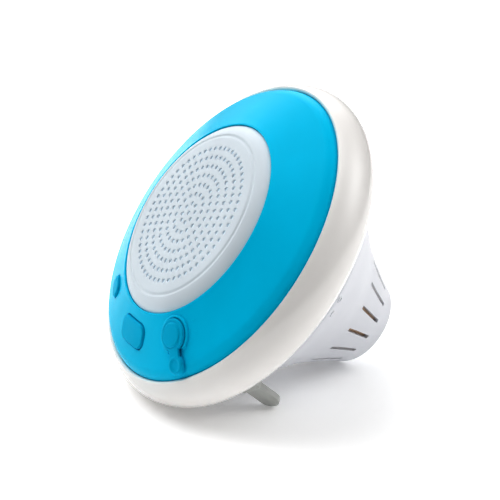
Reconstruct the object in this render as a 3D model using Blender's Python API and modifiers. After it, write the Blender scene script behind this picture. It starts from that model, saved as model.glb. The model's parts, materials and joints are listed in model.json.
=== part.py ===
"""Floating party speaker with a light ring, leaning on its rim, its tail and two stand legs.

The speaker is turned about one axis that leans back from the floor. Everything is modelled in
the frame of that axis (+Z out of the face, +X to the right, -Y towards the floor) and hangs
under the empty "speaker_axis", which puts it in its standing pose: +Z up, floor at Z = 0.
Lengths are in millimetres in this file and become metres through MM.
"""
import math

import bmesh
import bpy
from mathutils import Matrix, Vector

MM = 0.001

# Driving dimensions of the standing pose
FACE_TILT = 37.5            # angle of the face's normal above the floor
SEAM_HEIGHT = 77.5          # height of the seam circle's centre above the floor
SEAM_FORWARD = -21.8        # its distance along Y from the middle of the footprint
GAP = 0.3                   # clearance that touching pieces keep
ROUND = 36                  # steps round the large turned shells
ROUND_INNER = 20            # steps round the turned pieces inside
HOLE_SIDES = 10             # sides of a screw hole

# Front: fascia, lens and what clamps them
SEAM_RADIUS = 77.7
LENS_RADIUS = 50.0          # mouth of the fascia, where the lens comes through
MOUTH_HEIGHT = 14.5         # height of that mouth above the seam
FASCIA_SLOPE = 0.44         # fall of the fascia's straight cone per unit of radius
ROLL_START = 73.3           # radius where the cone rolls over to the seam
ROLL_RADIUS = 7.56          # radius of that roll
FASCIA_WALL = 2.45
LENS_WALL = 1.6
DOME_RADIUS = 42.1          # the groove round the speaker grille
DOME_HEIGHT = 19.1
BAFFLE_TOP = 6.5
BAFFLE_WALL = 1.5
BAFFLE_RADIUS = 53.2
BAFFLE_SHELF_RADIUS = 52.2
BAFFLE_SHELF_TOP = 8.4
FASCIA_SCREW_RADIUS = 56.8
FASCIA_SCREW_BEARINGS = (70.0, 132.0, -132.0, -70.0)

# Float ring, whose section is part of a circle
RING_CENTRE_RADIUS = 70.4
RING_CENTRE_HEIGHT = -11.6
RING_TUBE_RADIUS = 14.6
RING_WALL = 2.0
RING_LIP_RADIUS = 78.05     # inner wall of the lip that the seam runs along
RING_CREST_RADIUS = 79.4    # where the ring's outer surface starts behind that lip
COLLAR_RADIUS = 63.4        # socket under the ring that takes the tail's neck
COLLAR_BOTTOM = -26.0
DECK_FLOOR = -18.3
DECK_WALL = 2.0
WELL_RADIUS = 60.3
POD_HOLE_RADIUS = 39.0

# Tail
NECK_RADIUS = 59.2
NECK_TOP = -20.6
TAIL_WALL = 2.0
TAIL_END = -99.4
TAIL_END_RADIUS = 21.4
SLOT_COUNT = 18
SLOT_TOP = -69.4
SLOT_BOTTOM = -89.4
SLOT_WIDTH = 1.9
SLOT_PHASE = 2.0            # bearing of the first slot
LUG_BEARINGS = (90.0, 210.0, 330.0)
TWIST_RANGE = 20.0          # turn that frees the tail

# Controls on the fascia, by bearing from the lowest point of the face
CONTROL_RADIUS = 61.6
POWER_SIZE = (23.0, 12.0, 4.5)      # width, height and corner radius
POWER_BEARING = 0.8
MODE_SIZE = (10.4, 8.4, 3.2)
MODE_BEARING = -35.5
PORT_BEARING = 35.3
PORT_RADIUS = 60.8
BUTTON_CLEARANCE = 0.45
BUTTON_RISE = 1.2           # how far the buttons stand above the fascia
BUTTON_TRAVEL = 1.0
FLAP_RADIUS = 7.75
FLAP_AXIS_OFFSET = 10.0     # from the middle of the flap out to its hinge line
FLAP_AXIS_RISE = 1.6        # height of the hinge line over the fascia
ANCHOR_RADIUS = 73.6        # middle of the lobe that anchors the flap's strap

# Stand legs
LEG_BEARING = 36.9
LEG_SPLAY = 5.6
LEG_HINGE_RADIUS = 64.1
LEG_HINGE_HEIGHT = -34.42
LEG_WIDTH = 10.2
LEG_THICKNESS = 3.2
LEG_REACH = 21.25           # from the hinge line to the tip
LEG_PIN_RADIUS = 1.5
BRACKET_TOP = 8.2           # top and bottom of the leg's bracket, from the hinge line
BRACKET_BOTTOM = -4.6
BRACKET_SCREW_OFFSET = 10.4  # sideways, from the hinge line to the bracket's screw

# Loudspeaker
CONE_RADIUS = 23.5
FLANGE_RADIUS = 34.5
FLANGE_TOP = 8.3
DRIVER_SCREW_RADIUS = 32.2
LED_COUNT = 6
LED_RADIUS = 42.0

COLOURS = {
    "blue_gloss": ((0.0, 0.45, 0.80, 1.0), 0.15, 0.0),
    "lens_frosted": ((0.72, 0.77, 0.82, 1.0), 0.45, 0.0),
    "ring_white": ((0.84, 0.83, 0.80, 1.0), 0.15, 0.0),
    "tail_white": ((0.80, 0.82, 0.86, 1.0), 0.30, 0.0),
    "leg_grey": ((0.58, 0.59, 0.60, 1.0), 0.35, 0.0),
    "blue_rubber": ((0.0, 0.38, 0.68, 1.0), 0.55, 0.0),
    "black_plastic": ((0.03, 0.03, 0.035, 1.0), 0.45, 0.0),
    "seal_rubber": ((0.05, 0.05, 0.05, 1.0), 0.7, 0.0),
    "circuit_green": ((0.02, 0.16, 0.06, 1.0), 0.4, 0.0),
    "led_white": ((0.9, 0.9, 0.82, 1.0), 0.3, 0.0),
    "paper_cone": ((0.06, 0.06, 0.065, 1.0), 0.8, 0.0),
    "steel": ((0.62, 0.62, 0.64, 1.0), 0.3, 1.0),
    "ferrite": ((0.08, 0.08, 0.085, 1.0), 0.6, 0.0),
    "copper": ((0.72, 0.36, 0.18, 1.0), 0.3, 1.0),
    "battery_wrap": ((0.12, 0.2, 0.5, 1.0), 0.4, 0.0),
    "wire_red": ((0.55, 0.03, 0.03, 1.0), 0.5, 0.0),
}


def clear_scene():
    """Remove whatever the scene holds."""
    for thing in list(bpy.data.objects):
        bpy.data.objects.remove(thing, do_unlink=True)


def make_collection(name):
    group = bpy.data.collections.new(name)
    bpy.context.scene.collection.children.link(group)
    return group


clear_scene()
PARTS = make_collection("party_speaker")
CUTTERS = make_collection("cutters")


def material(name):
    """The Principled material of one finish, made once."""
    if name in bpy.data.materials:
        return bpy.data.materials[name]
    colour, roughness, metallic = COLOURS[name]
    finish = bpy.data.materials.new(name)
    finish.use_nodes = True
    shader = finish.node_tree.nodes["Principled BSDF"]
    shader.inputs["Base Color"].default_value = colour
    shader.inputs["Roughness"].default_value = roughness
    shader.inputs["Metallic"].default_value = metallic
    return finish


def make_empty(name, parent=None, matrix=None):
    """An empty whose local matrix is given in millimetres."""
    empty = bpy.data.objects.new(name, None)
    PARTS.objects.link(empty)
    empty.parent = parent
    if matrix is not None:
        placed = matrix.copy()
        placed.translation = matrix.translation * MM
        empty.matrix_local = placed
    return empty


def standing_frame():
    """The empty that leans the speaker's axis back and sets the seam circle's centre."""
    lean = math.radians(90.0 - FACE_TILT)
    place = Matrix.Translation((0.0, SEAM_FORWARD, SEAM_HEIGHT)) @ Matrix.Rotation(lean, 4, "X")
    return make_empty("speaker_axis", matrix=place)


AXIS = standing_frame()


def polar(bearing, radius, height=0.0):
    """A point by its bearing from the lowest point of the face, radius and height."""
    turn = math.radians(bearing)
    return Vector((radius * math.sin(turn), -radius * math.cos(turn), height))


def finish_object(name, mesh, finish, parent, group, at=(0.0, 0.0, 0.0)):
    """Wrap a mesh in an object with its parent, place and material."""
    thing = bpy.data.objects.new(name, mesh)
    group.objects.link(thing)
    thing.parent = parent
    thing.location = Vector(at) * MM
    if group is CUTTERS:
        thing.hide_render = True
        thing.display_type = "WIRE"
    else:
        mesh.materials.append(material(finish))
    return thing


def signed_area(points):
    """Area of a closed outline, positive when it runs anticlockwise."""
    total = 0.0
    for (x0, y0), (x1, y1) in zip(points, points[1:] + points[:1]):
        total += x0 * y1 - x1 * y0
    return total / 2.0


def turned(name, profile, finish, steps=ROUND_INNER, parent=AXIS, group=PARTS, at=(0, 0, 0)):
    """A solid turned about Z from a closed (radius, height) outline, or from one that starts
    and ends on the axis. The outline is run down its outer side."""
    points = list(profile)
    if signed_area(points) > 0.0:
        points.reverse()
    on_axis = [index for index, point in enumerate(points) if point[0] == 0.0]
    mesh = bpy.data.meshes.new(name)
    count = len(points)
    edges = [(index, (index + 1) % count) for index in range(count)]
    if len(on_axis) == 2:
        edges = [edge for edge in edges if set(edge) != set(on_axis)]
    mesh.from_pydata([(r * MM, 0.0, z * MM) for r, z in points], edges, [])
    thing = finish_object(name, mesh, finish, parent, group, at)
    screw = thing.modifiers.new("turn", "SCREW")
    screw.axis = "Z"
    screw.steps = steps
    screw.render_steps = steps
    screw.use_merge_vertices = True
    screw.merge_threshold = 0.00001
    screw.use_smooth_shade = True
    return thing


def box(name, size, finish, parent=AXIS, group=PARTS, at=(0, 0, 0), corner=0.0, edge=0.0,
        segments=4):
    """A block centred on its place, its upright corners and its rims rounded."""
    shape = bmesh.new()
    bmesh.ops.create_cube(shape, size=1.0)
    bmesh.ops.scale(shape, vec=Vector(size) * MM, verts=shape.verts)
    if corner:
        upright = [e for e in shape.edges if abs(e.verts[0].co.z - e.verts[1].co.z) > 1e-6]
        bmesh.ops.bevel(shape, geom=upright, offset=corner * MM, segments=segments,
                        profile=0.5, affect="EDGES")
    mesh = bpy.data.meshes.new(name)
    shape.to_mesh(mesh)
    shape.free()
    thing = finish_object(name, mesh, finish, parent, group, at)
    if edge:
        bevel = thing.modifiers.new("rounding", "BEVEL")
        bevel.width = edge * MM
        bevel.segments = 1
        bevel.limit_method = "ANGLE"
        bevel.angle_limit = math.radians(60.0)
    return thing


def rod(name, radius, low, high, finish="steel", sides=HOLE_SIDES, parent=AXIS, group=PARTS,
        at=(0, 0, 0)):
    """An upright cylinder between two heights."""
    shape = bmesh.new()
    bmesh.ops.create_cone(shape, cap_ends=True, segments=sides, radius1=radius * MM,
                          radius2=radius * MM, depth=(high - low) * MM)
    bmesh.ops.translate(shape, vec=(0.0, 0.0, (high + low) / 2.0 * MM), verts=shape.verts)
    mesh = bpy.data.meshes.new(name)
    shape.to_mesh(mesh)
    shape.free()
    mesh.shade_smooth()
    mesh.set_sharp_from_angle(angle=math.radians(40.0))
    return finish_object(name, mesh, finish, parent, group, at)


def apply_boolean(thing, tool, operation="DIFFERENCE"):
    """Add a Boolean modifier with the exact solver."""
    cut = thing.modifiers.new(operation.lower() + "_" + tool.name, "BOOLEAN")
    cut.operation = operation
    cut.solver = "EXACT"
    cut.object = tool


def cut_all(thing, tools):
    for tool in tools:
        apply_boolean(thing, tool)


def join_all(thing, tools):
    for tool in tools:
        apply_boolean(thing, tool, "UNION")


def screw(name, shank_radius, head_radius, head_height, length, parent=AXIS, at=(0, 0, 0),
          flip=False):
    """A pan-head screw: its head sits on Z = 0 and its shank runs down, or up if flipped."""
    profile = [
        (0.0, head_height * 0.5),
        (head_radius * 0.35, head_height),
        (head_radius * 0.75, head_height),
        (head_radius, head_height * 0.45),
        (head_radius, 0.0),
        (shank_radius, 0.0),
        (shank_radius, -length + shank_radius),
        (0.0, -length),
    ]
    if flip:
        profile = [(r, -z) for r, z in profile]
    return turned(name, profile, "steel", steps=HOLE_SIDES, parent=parent, at=at)


def wire(name, points, radius, finish):
    """A round lead through points given in the frame of the axis, as a closed mesh."""
    curve = bpy.data.curves.new(name + "_path", "CURVE")
    curve.dimensions = "3D"
    curve.bevel_depth = radius * MM
    curve.bevel_resolution = 1
    curve.use_fill_caps = True
    spline = curve.splines.new("POLY")
    spline.points.add(len(points) - 1)
    for target, place in zip(spline.points, points):
        target.co = (*(Vector(place) * MM), 1.0)
    path = bpy.data.objects.new(name + "_path", curve)
    PARTS.objects.link(path)
    path.parent = AXIS
    bpy.context.view_layer.update()
    evaluated = path.evaluated_get(bpy.context.evaluated_depsgraph_get())
    mesh = bpy.data.meshes.new_from_object(evaluated)
    mesh.name = name
    bpy.data.objects.remove(path, do_unlink=True)
    shape = bmesh.new()
    shape.from_mesh(mesh)
    bmesh.ops.remove_doubles(shape, verts=shape.verts, dist=0.00001)
    shape.to_mesh(mesh)
    shape.free()
    mesh.materials.clear()
    return finish_object(name, mesh, finish, AXIS, PARTS)


def smooth_path(points, pieces=4):
    """Points along a smooth curve through the given ones."""
    ends = [Vector(points[0])] + [Vector(point) for point in points] + [Vector(points[-1])]
    path = []
    for before, start, stop, after in zip(ends, ends[1:], ends[2:], ends[3:]):
        for step in range(pieces):
            t = step / pieces
            path.append(0.5 * (2.0 * start + (stop - before) * t
                               + (2.0 * before - 5.0 * start + 4.0 * stop - after) * t * t
                               + (3.0 * start - before - 3.0 * stop + after) * t ** 3))
    path.append(ends[-1])
    return path


# ---------------------------------------------------------------- fascia and its surface
def fascia_height(radius):
    """Height of the fascia's outer surface at a radius: a straight cone, then a roll."""
    if radius <= ROLL_START:
        return MOUTH_HEIGHT - FASCIA_SLOPE * (radius - LENS_RADIUS)
    cone = math.atan(FASCIA_SLOPE)
    turn = math.asin(math.sin(cone) + (radius - ROLL_START) / ROLL_RADIUS)
    return fascia_height(ROLL_START) - ROLL_RADIUS * (math.cos(cone) - math.cos(turn))


def fascia_tilt(radius):
    """Angle between the fascia's normal and the axis at a radius."""
    step = 0.01
    slope = (fascia_height(radius + step) - fascia_height(radius - step)) / (2.0 * step)
    return math.degrees(math.atan(-slope))


def fascia_skin(offset=0.0):
    """Points of the fascia's outer surface from its mouth to the seam, raised by an offset."""
    radii = [LENS_RADIUS, ROLL_START, 74.7, 76.0, 77.0, SEAM_RADIUS]
    return [(radius, fascia_height(radius) + offset) for radius in radii]


def control_frame(name, bearing, radius=CONTROL_RADIUS):
    """An empty on the fascia's surface: +Z out along its normal, -Y away from the axis."""
    place = Matrix.Translation(polar(bearing, radius, fascia_height(radius)))
    turn = Matrix.Rotation(math.radians(bearing), 4, "Z")
    lean = Matrix.Rotation(math.radians(fascia_tilt(radius)), 4, "X")
    return make_empty(name, AXIS, place @ turn @ lean)


POWER_FRAME = control_frame("power_frame", POWER_BEARING)
MODE_FRAME = control_frame("mode_frame", MODE_BEARING)
PORT_FRAME = control_frame("port_frame", PORT_BEARING, PORT_RADIUS)
ANCHOR_FRAME = control_frame("anchor_frame", PORT_BEARING, ANCHOR_RADIUS)


def make_fascia():
    """The blue front ring with its button holes, the port's collar and four screw bosses."""
    lip = [(LENS_RADIUS, 11.5), (LENS_RADIUS, MOUTH_HEIGHT - 0.3), (50.5, MOUTH_HEIGHT + 0.1),
           (51.4, fascia_height(51.4))]
    edge = [(SEAM_RADIUS, -3.8), (75.5, -3.8), (75.4, -1.6), (74.4, 0.7)]
    inside = [(radius, fascia_height(radius) - FASCIA_WALL) for radius in (72.0, 54.4)]
    profile = lip + fascia_skin()[1:] + edge + inside + [(53.2, 11.5)]
    fascia = turned("fascia", profile, "blue_gloss", steps=ROUND)
    bosses = []
    holes = []
    for number, bearing in enumerate(FASCIA_SCREW_BEARINGS, 1):
        place = polar(bearing, FASCIA_SCREW_RADIUS)
        bosses.append(rod(f"boss_{number}", 3.0, BAFFLE_TOP + GAP, 9.5, None, group=CUTTERS,
                          at=place))
        holes.append(rod(f"boss_hole_{number}", 1.3, BAFFLE_TOP - 1.0, 8.8, None,
                         group=CUTTERS, at=place))
    collar = turned("port_collar", [(8.1, -1.5), (8.1, 1.1), (8.9, 1.3), (9.7, 0.7),
                                    (9.7, -1.5)], None, parent=PORT_FRAME, group=CUTTERS)
    join_all(fascia, bosses + [collar])
    holes.append(rod("port_hole", 5.5, -6.0, 6.0, None, 16, PORT_FRAME, CUTTERS))
    for label, frame, size in (("power", POWER_FRAME, POWER_SIZE),
                               ("mode", MODE_FRAME, MODE_SIZE)):
        width, height, corner = size
        opening = (width + 2.0 * BUTTON_CLEARANCE, height + 2.0 * BUTTON_CLEARANCE, 12.0)
        holes.append(box(label + "_hole", opening, None, frame, CUTTERS, corner=corner))
    cut_all(fascia, holes)
    return fascia


def make_lens():
    """The frosted dome: a flange under the fascia, a shoulder, a groove and a low dome."""
    flange = 52.2
    wall = LENS_RADIUS - GAP
    outer = [(0.0, DOME_HEIGHT), (18.0, DOME_HEIGHT - 0.25), (33.0, DOME_HEIGHT - 0.75),
             (DOME_RADIUS - 0.8, 17.9), (DOME_RADIUS, 17.3), (DOME_RADIUS + 0.8, 17.6),
             (46.4, 16.3), (48.9, 15.0), (wall, 14.0), (wall, 11.2), (flange, 11.2),
             (flange, 9.8)]
    inner = [(48.0, 9.8), (48.0, 13.3), (DOME_RADIUS, 15.8), (24.0, 17.0),
             (0.0, DOME_HEIGHT - LENS_WALL)]
    return turned("lens_dome", outer + inner, "lens_frosted", steps=ROUND)


def make_lens_gasket():
    profile = [(49.3, 9.5), (52.0, 9.5), (52.0, 8.7), (49.3, 8.7)]
    return turned("lens_gasket", profile, "seal_rubber", steps=ROUND_INNER)


def make_baffle():
    """The plate that carries the loudspeaker and light board and clamps the lens."""
    low = BAFFLE_TOP - BAFFLE_WALL
    profile = [(30.6, BAFFLE_TOP), (48.6, BAFFLE_TOP), (48.6, BAFFLE_SHELF_TOP),
               (BAFFLE_SHELF_RADIUS, BAFFLE_SHELF_TOP), (BAFFLE_RADIUS, low), (30.6, low)]
    baffle = turned("baffle_plate", profile, "black_plastic", steps=24)
    ears = []
    holes = []
    for number, bearing in enumerate(FASCIA_SCREW_BEARINGS, 1):
        place = polar(bearing, FASCIA_SCREW_RADIUS)
        ears.append(rod(f"ear_{number}", 4.4, low, BAFFLE_TOP, None, group=CUTTERS, at=place))
        holes.append(rod(f"ear_hole_{number}", 1.4, 0.0, 12.0, None, group=CUTTERS, at=place))
    for number in range(4):
        place = polar(45.0 + 90.0 * number, DRIVER_SCREW_RADIUS)
        holes.append(rod(f"driver_hole_{number}", 1.2, 0.0, 12.0, None, 8, group=CUTTERS,
                         at=place))
    holes.append(rod("lead_hole", 2.2, 0.0, 12.0, None, 8, group=CUTTERS, at=polar(180.0, 45.0)))
    join_all(baffle, ears)
    cut_all(baffle, holes)
    return baffle


def make_fascia_screws():
    for number, bearing in enumerate(FASCIA_SCREW_BEARINGS, 1):
        place = polar(bearing, FASCIA_SCREW_RADIUS, BAFFLE_TOP - BAFFLE_WALL - GAP)
        screw(f"fascia_screw_{number}", 0.9, 2.2, 1.6, 3.8, at=place, flip=True)


# ---------------------------------------------------------------- light board
def make_lights():
    """The ring-shaped light board and its LEDs, which shine through the lens's shoulder."""
    low = BAFFLE_TOP + GAP
    high = low + 1.2
    turned("led_board", [(36.5, high), (47.6, high), (47.6, low), (36.5, low)], "circuit_green")
    for number in range(LED_COUNT):
        bearing = 30.0 + 360.0 * number / LED_COUNT
        place = polar(bearing, LED_RADIUS, high + GAP + 0.8)
        led = box(f"led_{number + 1}", (5.0, 5.0, 1.6), "led_white", at=place, edge=0.3)
        led.rotation_euler = (0.0, 0.0, math.radians(bearing))


# ---------------------------------------------------------------- loudspeaker
def make_driver():
    """Basket, magnet system, cone assembly and suspension of the loudspeaker."""
    basket = turned("driver_basket", [
        (29.3, FLANGE_TOP), (FLANGE_RADIUS, FLANGE_TOP), (FLANGE_RADIUS, 6.8), (30.1, 6.8),
        (29.6, 3.6), (22.0, -4.0), (9.6, -4.0), (9.6, -3.2), (21.6, -3.2), (28.8, 4.0)],
        "black_plastic")
    windows = []
    for number in range(4):
        bearing = 90.0 * number
        window = box(f"basket_window_{number}", (16.0, 12.0, 5.2), None, group=CUTTERS,
                     at=polar(bearing, 27.6, 0.4))
        window.rotation_euler = (0.0, 0.0, math.radians(bearing))
        windows.append(window)
    for number in range(4):
        place = polar(45.0 + 90.0 * number, DRIVER_SCREW_RADIUS)
        windows.append(rod(f"flange_hole_{number}", 1.2, 0.0, 12.0, None, 8, group=CUTTERS,
                           at=place))
        screw(f"driver_screw_{number + 1}", 0.9, 1.8, 1.3, 5.2,
              at=place + Vector((0.0, 0.0, FLANGE_TOP + GAP)))
    cut_all(basket, windows)
    turned("driver_top_plate", [(8.2, -4.3), (16.5, -4.3), (16.5, -6.0), (8.2, -6.0)], "steel")
    turned("driver_magnet", [(9.2, -6.3), (18.0, -6.3), (18.0, -10.6), (9.2, -10.6)], "ferrite")
    turned("driver_yoke", [(0.0, -4.3), (6.2, -4.3), (6.2, -10.9), (17.0, -10.9), (17.0, -12.6),
                           (0.0, -12.6)], "steel")
    turned("driver_spider", [(8.3, -1.9), (12.0, -1.3), (16.0, -1.9), (20.6, -1.3),
                             (20.6, -1.9), (16.0, -2.5), (12.0, -1.9), (8.3, -2.5)],
           "paper_cone")
    roll = [(CONE_RADIUS + 0.4, 7.2), (24.8, 7.2)]
    middle = 26.8
    for step in range(4):
        turn = math.pi * (1.0 - step / 3.0)
        roll.append((middle + 1.7 * math.cos(turn), 7.4 + 1.7 * math.sin(turn)))
    roll += [(29.0, 7.4), (29.0, 6.6)]
    for step in range(4):
        turn = math.pi * step / 3.0
        roll.append((middle + 1.1 * math.cos(turn), 6.8 + 1.6 * math.sin(turn)))
    roll += [(CONE_RADIUS + 0.4, 6.6)]
    turned("driver_surround", roll, "seal_rubber")
    turned("driver_cone", [(7.9, 0.7), (CONE_RADIUS, 7.2), (CONE_RADIUS, 6.5), (8.7, 0.2),
                           (7.9, -0.2)], "paper_cone")
    turned("driver_dust_cap", [(0.0, 4.0), (4.0, 3.4), (8.0, 1.6), (8.0, 1.05), (4.0, 2.8),
                               (0.0, 3.4)], "paper_cone")
    turned("voice_coil", [(6.9, 0.4), (7.5, 0.4), (7.5, -8.8), (6.9, -8.8)], "copper")


# ---------------------------------------------------------------- buttons and port
def envelope(name, rise):
    """A solid under the fascia's surface raised by a rise, to trim what stands on it."""
    skin = fascia_skin(rise)
    profile = [(0.0, skin[0][1])] + skin + [(SEAM_RADIUS, -30.0), (0.0, -30.0)]
    return turned(name, profile, None, steps=ROUND, group=CUTTERS)


def make_button(label, frame, size, crown):
    """A push button proud of the fascia, its flange under it, and its switch and board."""
    width, height, corner = size
    flange_top = -3.5
    flange_low = -4.7
    button = box(label + "_button", (width, height, 2.0 - flange_low), "blue_rubber", frame,
                 at=(0, 0, (2.0 + flange_low) / 2.0), corner=corner)
    plate = box(label + "_flange", (width + 2.0, height + 1.2, flange_top - flange_low), None,
                frame, CUTTERS, at=(0, 0, (flange_top + flange_low) / 2.0), corner=corner)
    apply_boolean(button, crown, "INTERSECT")
    join_all(button, [plate])
    top = flange_low - BUTTON_TRAVEL - GAP
    body = box(label + "_switch", (6.0, 6.0, 3.0), "black_plastic", frame,
               at=(0, 0, top - 2.3), edge=0.4)
    plunger = rod(label + "_plunger", 1.7, top - 2.0, top, None, 10, frame, CUTTERS)
    join_all(body, [plunger])
    box(label + "_board", (14.0, 9.0, 1.2), "circuit_green", frame,
        at=(0, 0, top - 3.8 - GAP - 0.6), corner=1.0)


def make_port():
    """The rubber flap over the charging socket, its strap anchor, the socket and board."""
    flap = turned("port_flap", [
        (0.0, 2.0), (4.6, 2.1), (5.8, 2.9), (6.9, 2.9), (FLAP_RADIUS, 2.1), (FLAP_RADIUS, 0.6),
        (5.0, 0.6), (5.0, -1.2), (0.0, -1.2)], "blue_rubber", parent=PORT_FRAME)
    tongue = box("flap_tongue", (6.0, 5.0, 1.3), None, PORT_FRAME, CUTTERS,
                 at=(0, -FLAP_AXIS_OFFSET + 3.25, FLAP_AXIS_RISE))
    join_all(flap, [tongue])
    anchor = rod("flap_anchor", 4.4, -4.0, 2.1, "blue_rubber", 20, ANCHOR_FRAME)
    reach = box("anchor_trim", (14.0, 10.0, 10.0), None, PORT_FRAME, CUTTERS,
                at=(0, -FLAP_AXIS_OFFSET + 3.9, 0))
    cut_all(anchor, [reach, envelope("anchor_seat", GAP)])
    notch = box("collar_notch", (10.6, 6.0, 5.0), None, PORT_FRAME, CUTTERS,
                at=(0, -10.0, 2.6))
    box("charge_socket", (8.6, 3.2, 5.0), "steel", PORT_FRAME, at=(0, 0, -4.6), corner=1.0)
    box("port_board", (15.0, 8.0, 1.2), "circuit_green", PORT_FRAME, at=(0, -1.0, -8.0),
        corner=1.0)
    return notch


# ---------------------------------------------------------------- float ring and pod
def ring_arc(start, stop, count, tube):
    """Points of the ring's section, by angle from straight out."""
    points = []
    for step in range(count):
        turn = math.radians(start + (stop - start) * step / (count - 1))
        points.append((RING_CENTRE_RADIUS + tube * math.cos(turn),
                       RING_CENTRE_HEIGHT + tube * math.sin(turn)))
    return points


def ring_angle(radius, tube, below):
    """Angle of the ring's section at a radius, above or below its centre."""
    turn = math.degrees(math.acos((radius - RING_CENTRE_RADIUS) / tube))
    return -turn if below else turn


def make_float_ring():
    """The white ring shell with the tail's socket and the floor of the electronics bay."""
    inner_tube = RING_TUBE_RADIUS - RING_WALL
    outer = [(RING_LIP_RADIUS, -0.6), (RING_LIP_RADIUS + 0.5, -0.1)]
    outer += ring_arc(ring_angle(RING_CREST_RADIUS, RING_TUBE_RADIUS, False), 0.0, 5,
                      RING_TUBE_RADIUS)
    outer += ring_arc(0.0, ring_angle(COLLAR_RADIUS, RING_TUBE_RADIUS, True), 8,
                      RING_TUBE_RADIUS)[1:]
    socket = [(COLLAR_RADIUS, COLLAR_BOTTOM), (NECK_RADIUS + 0.4, COLLAR_BOTTOM),
              (NECK_RADIUS + 0.4, -23.5), (61.6, -23.5), (61.6, DECK_FLOOR - DECK_WALL)]
    floor = [(POD_HOLE_RADIUS, DECK_FLOOR - DECK_WALL), (POD_HOLE_RADIUS, DECK_FLOOR),
             (WELL_RADIUS, DECK_FLOOR), (WELL_RADIUS, -7.0), (62.3, -7.0)]
    inner = ring_arc(ring_angle(62.3, inner_tube, True),
                     ring_angle(RING_LIP_RADIUS, inner_tube, False), 6, inner_tube)
    ring = turned("float_ring", outer + socket + floor + inner, "ring_white", steps=ROUND)
    notches = []
    for number, bearing in enumerate(LUG_BEARINGS):
        gate = box(f"lug_gate_{number}", (9.0, 4.0, 5.0), None, group=CUTTERS,
                   at=polar(bearing + TWIST_RANGE, 60.0, -24.0))
        gate.rotation_euler = (0.0, 0.0, math.radians(bearing + TWIST_RANGE))
        notches.append(gate)
    for side in (1.0, -1.0):
        place = leg_frame_matrix(side) @ Vector((side * BRACKET_SCREW_OFFSET, 0.0, 10.8))
        notches.append(rod(f"bracket_hole_{int(side)}", 1.3, -6.0, 6.0, None, 8, group=CUTTERS,
                           at=place))
    cut_all(ring, notches)
    return ring


def make_bay():
    """What closes the float chamber and the watertight pod, and what the pod holds."""
    turned("float_deck", [(62.6, -5.2), (77.8, -5.2), (77.8, -6.7), (62.6, -6.7)], "black_plastic",
           steps=ROUND)
    turned("deck_seal", [(75.5, -4.1), (77.1, -4.1), (77.1, -4.9), (75.5, -4.9)], "seal_rubber")
    turned("electronics_pod", [
        (45.0, -15.1), (45.0, -16.9), (38.4, -16.9), (38.4, -20.5), (33.0, -60.0), (31.0, -62.0),
        (0.0, -62.0), (0.0, -60.2), (30.2, -60.2), (31.4, -59.0), (36.6, -20.3), (36.6, -15.1)],
        "black_plastic")
    turned("pod_seal", [(40.8, -17.2), (43.6, -17.2), (43.6, -18.0), (40.8, -18.0)],
           "seal_rubber")
    turned("main_board", [(0.0, -13.2), (44.0, -13.2), (44.0, -14.8), (0.0, -14.8)],
           "circuit_green")
    box("bluetooth_module", (13.0, 10.0, 2.0), "steel", at=(-27.0, 10.0, -11.9), edge=0.4)
    box("amplifier_chip", (7.0, 7.0, 1.2), "black_plastic", at=(26.0, 16.0, -12.3), edge=0.3)
    box("battery_pack", (40.0, 18.0, 38.0), "battery_wrap", at=(0, 0, -39.0), corner=5.0)


# ---------------------------------------------------------------- tail
def make_tail():
    """The bell-shaped tail with its slots and bayonet lugs, and the weight inside it."""
    outer = [(NECK_RADIUS, NECK_TOP), (NECK_RADIUS, -36.8), (58.4, -39.6), (52.1, -48.2),
             (45.3, -57.5), (38.7, -66.6), (33.2, -76.1), (28.3, -85.5), (24.6, -92.7),
             (22.4, -97.4), (TAIL_END_RADIUS, TAIL_END), (0.0, TAIL_END)]
    inner = [(0.0, TAIL_END + TAIL_WALL), (19.6, TAIL_END + TAIL_WALL), (22.6, -92.0),
             (31.2, -75.5), (36.8, -65.8), (NECK_RADIUS - TAIL_WALL, -37.0),
             (NECK_RADIUS - TAIL_WALL, NECK_TOP)]
    bell = turned("tail_bell", outer + inner, "tail_white", steps=ROUND)
    lugs = []
    for number, bearing in enumerate(LUG_BEARINGS):
        lug = box(f"lug_{number}", (7.0, 3.2, 2.0), None, group=CUTTERS,
                  at=polar(bearing, NECK_RADIUS + 0.3, -22.0))
        lug.rotation_euler = (0.0, 0.0, math.radians(bearing))
        lugs.append(lug)
    join_all(bell, lugs)
    cut_all(bell, [make_slot(number) for number in range(SLOT_COUNT)])
    turned("tail_weight", [(2.0, -93.0), (17.5, -93.0), (17.5, TAIL_END + TAIL_WALL + GAP),
                           (2.0, TAIL_END + TAIL_WALL + GAP)], "steel")
    screw("weight_screw", 1.5, 3.4, 2.0, 3.8, at=(0, 0, -93.0 + GAP))
    return bell


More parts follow.
